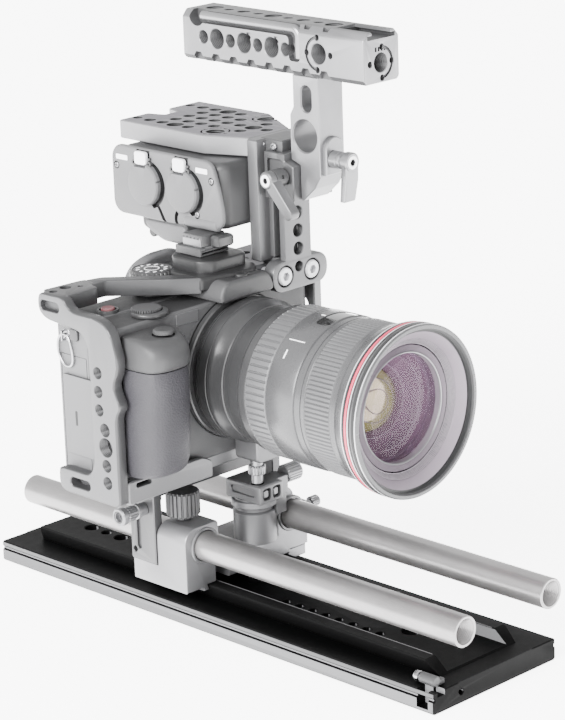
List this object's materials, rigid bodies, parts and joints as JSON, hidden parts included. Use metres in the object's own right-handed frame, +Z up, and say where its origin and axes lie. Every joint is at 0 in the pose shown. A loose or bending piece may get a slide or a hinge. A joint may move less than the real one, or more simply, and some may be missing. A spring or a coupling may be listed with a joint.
{
  "type": "cinema camera rig",
  "caption": "Mirrorless camera in a machined cage on rods over a dovetail plate, with an adapted zoom lens, audio input unit, perforated top plate and top handle.",
  "frame": {"origin": "bottom centre of the dovetail plate", "axes": "+Z up out of the base face, -Y the way the lens points, -X the side of the hand grip"},
  "size_m": [0.155, 0.3132, 0.2906],
  "materials": {
    "black_anodised": "satin black anodised",
    "grey_anodised": "bead-blasted grey anodised",
    "plate_anodised": "bead-blasted warm grey anodised",
    "silver_anodised": "satin silver anodised, turned",
    "rod_aluminium": "drawn and anodised, satin",
    "bright_steel": "nickel plated, bright",
    "camera_body": "fine textured paint over magnesium",
    "camera_trim": "satin moulded plastic",
    "grip_rubber": "leather-grained rubber",
    "support_rubber": "moulded rubber over an aluminium fork",
    "record_red": "gloss red",
    "screen_glass": "black display glass",
    "battery_plastic": "matte moulded",
    "lens_barrel_finish": "fine hammered paint",
    "ring_rubber": "moulded ribbed rubber",
    "accent_red": "gloss red",
    "coated_glass": "multicoated optical glass",
    "audio_case": "fine textured moulding",
    "audio_panel": "fine textured moulding",
    "tab_white": "satin white"
  },
  "bodies": {
    "dovetail_plate": {"dovetail_plate": "black_anodised"},
    "stop_lever": {"stop_lever": "black_anodised"},
    "stop_button": {"stop_button": "bright_steel"},
    "bridge": {"bridge_block": "grey_anodised", "base_riser": "grey_anodised", "cage_left": "grey_anodised", "cage_base": "grey_anodised", "cage_right": "grey_anodised", "camera_front_shell": "camera_body", "camera_rear_shell": "camera_body", "camera_grip": "grip_rubber", "viewfinder_housing": "camera_body", "eyecup": "grip_rubber", "hot_shoe": "bright_steel", "battery": "battery_plastic", "sensor_block": "battery_plastic", "lens_adapter": "lens_barrel_finish", "lens_barrel": "lens_barrel_finish", "middle_barrel": "lens_barrel_finish", "front_barrel": "lens_barrel_finish", "accent_ring": "accent_red", "audio_unit_body": "audio_case", "audio_unit_panel": "audio_panel", "xlr_cap_front": "audio_panel", "xlr_cap_rear": "audio_panel", "audio_foot": "bright_steel", "bracket_post": "grey_anodised", "bracket_screw_left": "bright_steel", "bracket_screw_right": "bright_steel", "cheese_plate": "plate_anodised", "lens_support": "grey_anodised"},
    "dovetail_jaw": {"dovetail_jaw": "grey_anodised"},
    "jaw_lever": {"jaw_lever": "silver_anodised"},
    "rod_left": {"rod_left": "rod_aluminium"},
    "rod_right": {"rod_right": "rod_aluminium"},
    "rod_knob_left": {"rod_knob_left": "grey_anodised"},
    "rod_knob_right": {"rod_knob_right": "silver_anodised"},
    "riser_knob": {"riser_knob": "silver_anodised"},
    "support_side_knob": {"support_side_knob": "silver_anodised"},
    "support_lift": {"support_screw": "silver_anodised", "support_pad": "support_rubber"},
    "strap_ring": {"strap_ring": "bright_steel"},
    "mode_dial": {"mode_dial": "camera_trim"},
    "power_lever": {"power_lever": "camera_trim"},
    "front_dial": {"front_dial": "camera_trim"},
    "shutter_button": {"shutter_button": "camera_trim"},
    "record_button": {"record_button": "record_red"},
    "card_door": {"card_door": "camera_body"},
    "screen": {"screen": "screen_glass"},
    "zoom_ring": {"zoom_ring": "ring_rubber"},
    "front_group": {"front_group": "lens_barrel_finish", "front_element": "coated_glass"},
    "focus_ring": {"focus_ring": "ring_rubber"},
    "xlr_tab_front": {"xlr_tab_front": "tab_white"},
    "xlr_tab_rear": {"xlr_tab_rear": "tab_white"},
    "handle_clamp": {"handle_clamp": "grey_anodised", "handle_post": "grey_anodised", "top_handle": "grey_anodised"},
    "clamp_lever_left": {"clamp_lever_left": "silver_anodised"},
    "clamp_lever_right": {"clamp_lever_right": "silver_anodised"}
  },
  "joints": [
    {"name": "bridge_slide", "type": "slide", "parent": "dovetail_plate", "child": "bridge", "axis": [0, 1, 0], "range_m": [-0.1, 0.084]},
    {"name": "stop_lever_lift", "type": "hinge", "parent": "dovetail_plate", "child": "stop_lever", "pos_m": [-0.0368, -0.1484, 0.0139], "axis": [1, 0, 0], "range_deg": [0, 30], "stiffness_Nm_per_rad": 0.02},
    {"name": "stop_button_press", "type": "slide", "parent": "stop_lever", "child": "stop_button", "axis": [0, -1, 0], "range_m": [0, 0.0008], "stiffness_N_per_m": 300},
    {"name": "jaw_lever_turn", "type": "hinge", "parent": "bridge", "child": "jaw_lever", "pos_m": [0.044, 0.027, 0.0166], "axis": [1, 0, 0], "range_deg": [0, 80]},
    {"name": "jaw_slide", "type": "slide", "parent": "bridge", "child": "dovetail_jaw", "axis": [1, 0, 0], "range_m": [0, 0.00035]},
    {"name": "rod_left_slide", "type": "slide", "parent": "bridge", "child": "rod_left", "axis": [0, 1, 0], "range_m": [-0.08, 0.08]},
    {"name": "rod_right_slide", "type": "slide", "parent": "bridge", "child": "rod_right", "axis": [0, 1, 0], "range_m": [-0.08, 0.08]},
    {"name": "rod_knob_left_turn", "type": "hinge", "parent": "bridge", "child": "rod_knob_left", "pos_m": [-0.03, 0.024, 0.055], "axis": [0, 0, 1], "continuous": true},
    {"name": "rod_knob_right_turn", "type": "hinge", "parent": "bridge", "child": "rod_knob_right", "pos_m": [0.046, 0.013, 0.0394], "axis": [1, 0, 0], "continuous": true},
    {"name": "riser_knob_turn", "type": "hinge", "parent": "bridge", "child": "riser_knob", "pos_m": [-0.05, 0.0372, 0.056], "axis": [1, 0, 0], "continuous": true},
    {"name": "support_side_knob_turn", "type": "hinge", "parent": "bridge", "child": "support_side_knob", "pos_m": [0.028, 0.008, 0.062], "axis": [1, 0, 0], "continuous": true},
    {"name": "support_lift_slide", "type": "slide", "parent": "bridge", "child": "support_lift", "axis": [0, 0, 1], "range_m": [-0.0036, 0]},
    {"name": "strap_ring_swing", "type": "hinge", "parent": "bridge", "child": "strap_ring", "pos_m": [-0.0792, 0.0482, 0.1517], "axis": [0, 1, 0], "range_deg": [0, 40]},
    {"name": "mode_dial_turn", "type": "hinge", "parent": "bridge", "child": "mode_dial", "pos_m": [-0.0228, 0.0466, 0.168], "axis": [0, 0, 1], "continuous": true},
    {"name": "power_lever_turn", "type": "hinge", "parent": "bridge", "child": "power_lever", "pos_m": [-0.0228, 0.0466, 0.162], "axis": [0, 0, 1], "range_deg": [-30, 5]},
    {"name": "front_dial_turn", "type": "hinge", "parent": "bridge", "child": "front_dial", "pos_m": [-0.05, 0.0214, 0.162], "axis": [0, 0, 1], "continuous": true},
    {"name": "shutter_press", "type": "slide", "parent": "bridge", "child": "shutter_button", "axis": [0, 0, -1], "range_m": [0, 0.0012], "stiffness_N_per_m": 300},
    {"name": "record_press", "type": "slide", "parent": "bridge", "child": "record_button", "axis": [0, 0, -1], "range_m": [0, 0.001], "stiffness_N_per_m": 300},
    {"name": "card_door_swing", "type": "hinge", "parent": "bridge", "child": "card_door", "pos_m": [-0.0795, 0.0512, 0.112], "axis": [0, 0, -1], "range_deg": [0, 85]},
    {"name": "screen_swing", "type": "hinge", "parent": "bridge", "child": "screen", "pos_m": [0.0486, 0.0589, 0.115], "axis": [0, 0, -1], "range_deg": [0, 170]},
    {"name": "zoom_turn", "type": "hinge", "parent": "bridge", "child": "zoom_ring", "pos_m": [0, -0.037, 0.1244], "axis": [0, 1, 0], "range_deg": [0, 60]},
    {"name": "front_group_travel", "type": "slide", "parent": "bridge", "child": "front_group", "axis": [0, 1, 0], "range_m": [0, 0.005]},
    {"name": "focus_turn", "type": "hinge", "parent": "bridge", "child": "focus_ring", "pos_m": [0, -0.078, 0.1244], "axis": [0, 1, 0], "range_deg": [-60, 60]},
    {"name": "xlr_tab_front_press", "type": "slide", "parent": "bridge", "child": "xlr_tab_front", "axis": [1, 0, 0], "range_m": [0, 0.001], "stiffness_N_per_m": 400},
    {"name": "xlr_tab_rear_press", "type": "slide", "parent": "bridge", "child": "xlr_tab_rear", "axis": [1, 0, 0], "range_m": [0, 0.001], "stiffness_N_per_m": 400},
    {"name": "handle_clamp_slide", "type": "slide", "parent": "bridge", "child": "handle_clamp", "axis": [0, 0, 1], "range_m": [-0.028, 0]},
    {"name": "clamp_lever_left_turn", "type": "hinge", "parent": "handle_clamp", "child": "clamp_lever_left", "pos_m": [0.012, -0.0006, 0.2164], "axis": [1, 0, 0], "range_deg": [-100, 45]},
    {"name": "clamp_lever_right_turn", "type": "hinge", "parent": "handle_clamp", "child": "clamp_lever_right", "pos_m": [0.0355, -0.033, 0.2256], "axis": [0, 1, 0], "range_deg": [-80, 80]}
  ],
  "couplings": [
    {"joint": "jaw_slide", "follows": "jaw_lever_turn", "m_per_rad": 0.00025067},
    {"joint": "front_group_travel", "follows": "zoom_turn", "m_per_rad": 0.0047747}
  ]
}
